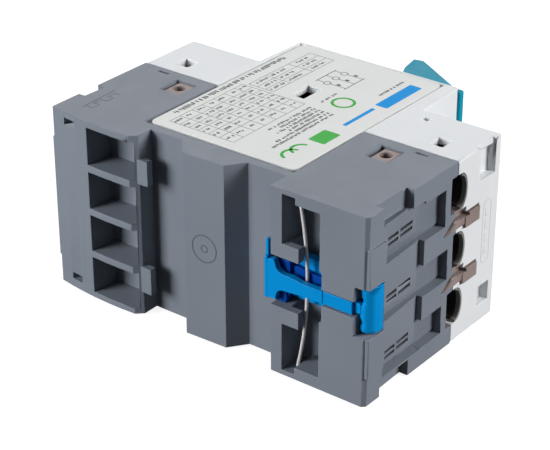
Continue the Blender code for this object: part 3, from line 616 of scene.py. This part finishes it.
def make_finger():
    """The round finger grip at the end of the arm, with wavy notches on its arm side, on a back plate."""
    rows, sides = 44, 32
    low, high = 16.9, 27.7
    rings = []
    for row in range(rows + 1):
        z = low + (high - low) * row / rows
        tip = max(0.0, 0.8 - (z - low)) / 0.8
        radius = 1.85 * (1.0 - 0.35 * tip * tip)
        notches = 0.55 * math.exp(-((z - 24.6) / 0.9) ** 2) + 0.3 * math.exp(-((z - 19.3) / 0.5) ** 2)
        ring = []
        for side in range(sides):
            turn = math.tau * side / sides
            toward_arm = max(0.0, -math.cos(turn - 0.5)) ** 2
            reach = radius - 1.3 * notches * toward_arm
            flare = 0.55 * max(0.0, (z - 26.4) / 1.3) * max(0.0, math.cos(turn))
            x = 86.4 + (reach + flare) * math.cos(turn)
            ring.append(at(x, 3.5 + reach * 1.15 * math.sin(turn), z))
        rings.append(ring)
    add_piece("clip_finger", loft("finger", rings), BLUE, "din_clip")
    back = smooth_path([(88.25, 5.9), (88.3, 4.0), (87.9, 2.9), (87.0, 3.0), (86.0, 4.4), (85.3, 5.9)], 4)
    slab_piece("clip_finger_back", back, "Z", 16.95, 27.85, BLUE, 0.1)
    # The slab behind the finger is dark blue: painted shade.
    slab_piece("clip_finger_shade", rectangle((84.3, 86.4), (17.2, 27.6)), "Y", 4.6, 5.9, PAINTED_SHADE_BLUE, 0.1)


make_clip()


# ---------------------------------------------------------------------------
# Clip wire


def wire_centre(z):
    """The wire bows toward the load end, held at both ends and pushed by the clip in the middle."""
    bow = 1.0 - ((z - WIRE_MIDDLE) / WIRE_HALF) ** 2
    return at(WIRE_FOOT + WIRE_BOW * bow, WIRE_DEPTH, z)


def make_wire(name, start, node=None):
    """One half of the wire, from its fixed end to the clip."""
    steps, sides, radius = 36, 14, WIRE_RADIUS * MM
    rings = []
    for step in range(steps + 1):
        z = start + (WIRE_MIDDLE - start) * step / steps
        centre = wire_centre(z)
        along = (wire_centre(z + 0.1) - wire_centre(z - 0.1)).normalized()
        across = along.cross(Vector((0.0, 1.0, 0.0))).normalized()
        up = along.cross(across)
        turns = [math.tau * side / sides for side in range(sides)]
        rings.append([centre + (across * math.cos(t) + up * math.sin(t)) * radius for t in turns])
    wire = add_piece(name, loft(name, rings), WIRE, None, node=node)
    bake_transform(wire)


make_wire("clip_wire_high", 43.3, node="clip_spring")
make_wire("clip_wire_low", 1.7)


# ---------------------------------------------------------------------------
# Cable mouths


def mouth_band(centre, inner, outer):
    """Half-ring under the mouth's arc, in (depth, width), between two shares of its size."""
    steps = 24
    angles = [math.pi * step / steps for step in range(steps + 1)]

    def arc(share, turns):
        return [
            (MOUTH_DEPTH + MOUTH_RISE * share * math.sin(a), centre - MOUTH_HALF * share * math.cos(a))
            for a in turns
        ]
    return arc(outer, angles) + arc(inner, reversed(angles))


def make_mouths():
    """A grey lip inside each half-round mouth, its grey painted shade on the mouth's white wall, and a
    near-black half-ring behind it, painted shade of the dark inside.
    """
    for end, lip, shroud in (("load", (86.75, 87.9), (84.0, 86.7)), ("line", (0.1, 1.25), (1.3, 4.0))):
        for pole, centre in enumerate(POLES, 1):
            mesh = mesh_of("lip", [(mouth_band(centre, 0.86, 0.985), "X", *lip)])
            name = f"mouth_lip_{end}_{pole}"
            soften(add_piece(name, mesh, LIP_PAINTED_SHADE, "housing"), 0.05, segments=2)
            mesh = mesh_of("shroud", [(mouth_band(centre, 0.80, 0.93), "X", *shroud)])
            add_piece(f"mouth_painted_shade_{end}_{pole}", mesh, PAINTED_SHADE_BLACK, "housing")


make_mouths()


# ---------------------------------------------------------------------------
# Vents and moulded marks


def make_vent_painted_shade():
    """Near-black slabs at the bottom of the vent slots: painted shade of the deep vents."""
    for end in ("load", "line"):
        slabs = []
        for centre in VENTS:
            for row in (-0.67, 0.67):
                for span, top in (((8.04, 12.06), 86.95), ((12.94, 17.76), 86.6)):
                    z = (centre + row - 0.40, centre + row + 0.40)
                    x = (84.95, top) if end == "load" else (HEIGHT - top, 3.05)
                    slabs.append((rectangle(span, z), "X", *x))
        mesh = mesh_of("screen", slabs)
        add_piece(f"vent_painted_shade_{end}", mesh, PAINTED_SHADE_BLACK, "housing")


def turned_rectangle(centre, along, length, breadth):
    """A rectangle about a centre, its long side along a direction."""
    way = Vector(along).normalized()
    side = Vector((-way.y, way.x))
    corners = ((-0.5, -0.5), (0.5, -0.5), (0.5, 0.5), (-0.5, 0.5))
    return [tuple(Vector(centre) + way * length * a + side * breadth * b) for a, b in corners]


def on_face(outline, axis, level):
    """A moulded mark on the outer face that lies at a level of an axis."""
    return (outline, axis, level - MARK_SUNK, level + MARK_PROUD)


def make_marks():
    """Plain moulded marks: a cell mark on the grey side, a round mark on the bulge, one on the white end;
    each coloured darker than its face as painted shade of the relief.
    """
    slabs = [on_face(turned_rectangle((5.45, 10.6), (-0.05, 1.0), 11.6, 0.28), "Z", WIDTH)]
    for i in range(5):
        y = 6.0 + 2.3 * i
        slabs.append(on_face(turned_rectangle((7.0, y), (1.0, 0.05), 1.9, 0.26), "Z", WIDTH))
        if i < 4:
            x = 6.25 if i % 2 else 7.85
            slabs.append(on_face(turned_rectangle((x, y + 1.1), (0.05, 1.0), 1.6, 0.26), "Z", WIDTH))
    add_piece("side_mark", mesh_of("mark", slabs), SHADE, "housing")

    circles = [arc_band(BULGE_MARK, *radii, 0, 359.9, 40) for radii in ((3.15, 3.4), (0.75, 0.95))]
    mesh = mesh_of("mark", [(circle, "Y", 0.86, 1.2) for circle in circles])
    for vertex in mesh.vertices:
        vertex.co.y += BULGE_TILT * (vertex.co.x - at(BULGE_MARK[0], 0, 0).x)
    add_piece("round_mark", mesh, SHADE, "housing")

    slabs = []
    outside = rounded((44.3, 47.6), (15.0, 31.0), 1.5)
    within = rounded((44.5, 47.4), (15.2, 30.8), 1.3)
    for i in range(len(outside)):
        j = (i + 1) % len(outside)
        slabs.append(on_face([outside[i], outside[j], within[j], within[i]], "X", HEIGHT))
    for i in range(4):
        z = 17.4 + 3.2 * i
        slabs.append(on_face(rectangle((45.3, 46.6), (z, 17.6 + 3.2 * i)), "X", HEIGHT))
        slabs.append(on_face(rectangle((45.3, 45.5), (z, 19.4 + 3.2 * i)), "X", HEIGHT))
    add_piece("end_mark", mesh_of("mark", slabs), PALE_PAINTED_SHADE, "housing")


make_vent_painted_shade()
make_marks()


# ---------------------------------------------------------------------------
# Floor, light and camera


def glowing_paint(name, base, strength):
    """Matt paint that gives off white light of its own."""
    material, tree, shader = new_material(name)
    shader.inputs["Base Color"].default_value = (base, base, base, 1.0)
    shader.inputs["Roughness"].default_value = 0.9
    shader.inputs["Specular IOR Level"].default_value = 0.0
    shader.inputs["Emission Color"].default_value = (1.0, 1.0, 1.0, 1.0)
    shader.inputs["Emission Strength"].default_value = strength
    return material


def studio_piece(name, mesh, material, height):
    """A surface of the studio that neither lights the object nor shows in its gloss."""
    mesh.materials.append(material)
    obj = bpy.data.objects.new(name, mesh)
    obj.location.z = height
    obj.visible_diffuse = False
    obj.visible_glossy = False
    bpy.context.scene.collection.objects.link(obj)
    return obj


def make_floor():
    """A white floor that the camera sees and that takes the contact shadow."""
    reach = 4.0
    mesh = bpy.data.meshes.new("floor")
    corners = [(x, y, 0) for x, y in rectangle((-reach, reach), (-reach, reach))]
    mesh.from_pydata(corners, [], [(0, 1, 2, 3)])
    paint = glowing_paint("floor_paint", 0.30, 0.86)
    floor = studio_piece("floor", mesh, paint, CAD_BOX[0][2] - 0.0002)


def make_backdrop():
    """A white wall far round the object, which only the camera sees."""
    bm = bmesh.new()
    bmesh.ops.create_cone(bm, cap_ends=False, segments=96, radius1=3.9, radius2=3.9, depth=4.0)
    mesh = bpy.data.meshes.new("backdrop")
    bm.to_mesh(mesh)
    bm.free()
    backdrop = studio_piece("backdrop", mesh, glowing_paint("backdrop_paint", 0.0, 1.0), 1.9)
    backdrop.visible_shadow = False


def make_world():
    world = bpy.data.worlds.new("studio")
    world.use_nodes = True
    background = world.node_tree.nodes["Background"]
    background.inputs["Color"].default_value = (0.95, 0.97, 1.0, 1.0)
    background.inputs["Strength"].default_value = AMBIENT
    bpy.context.scene.world = world


def softbox(name, direction, distance, size, power, colour=(1.0, 1.0, 1.0)):
    """A square area light that faces the object from a direction."""
    light = bpy.data.lights.new(name, "AREA")
    light.shape = "SQUARE"
    light.size = size
    light.energy = power * distance * distance
    light.color = colour
    obj = bpy.data.objects.new(name, light)
    way = Vector(direction).normalized()
    middle = Vector((0.0, 0.0, 0.02))
    obj.location = middle + way * distance
    obj.rotation_mode = "QUATERNION"
    obj.rotation_quaternion = (-way).to_track_quat("-Z", "Y")
    bpy.context.scene.collection.objects.link(obj)


def make_camera():
    """The camera of the photo, as fitted to it: place, direction and lens."""
    azimuth, elevation = math.radians(37.75), math.radians(27.92)
    look = Vector((
        -math.sin(azimuth) * math.cos(elevation),
        math.cos(azimuth) * math.cos(elevation),
        -math.sin(elevation),
    ))
    data = bpy.data.cameras.new("camera")
    data.sensor_width = 36.0
    data.lens = 119.47
    data.clip_start = 0.01
    camera = bpy.data.objects.new("camera", data)
    camera.location = at(269.87, -265.39, 213.90)
    camera.rotation_mode = "QUATERNION"
    camera.rotation_quaternion = look.to_track_quat("-Z", "Y")
    bpy.context.scene.collection.objects.link(camera)
    bpy.context.scene.camera = camera


make_floor()
make_backdrop()
make_world()
softbox("left_front", (-0.50, -0.80, 0.30), 1.0, 0.45, 11.6, (0.97, 0.985, 1.0))
softbox("right_back", (0.80, 0.34, 0.36), 1.0, 0.45, 11.0)
softbox("sheen", (-0.541, 0.699, 0.50), 1.1, 0.9, 4.9)
make_camera()
bpy.context.scene.view_settings.view_transform = "Standard"
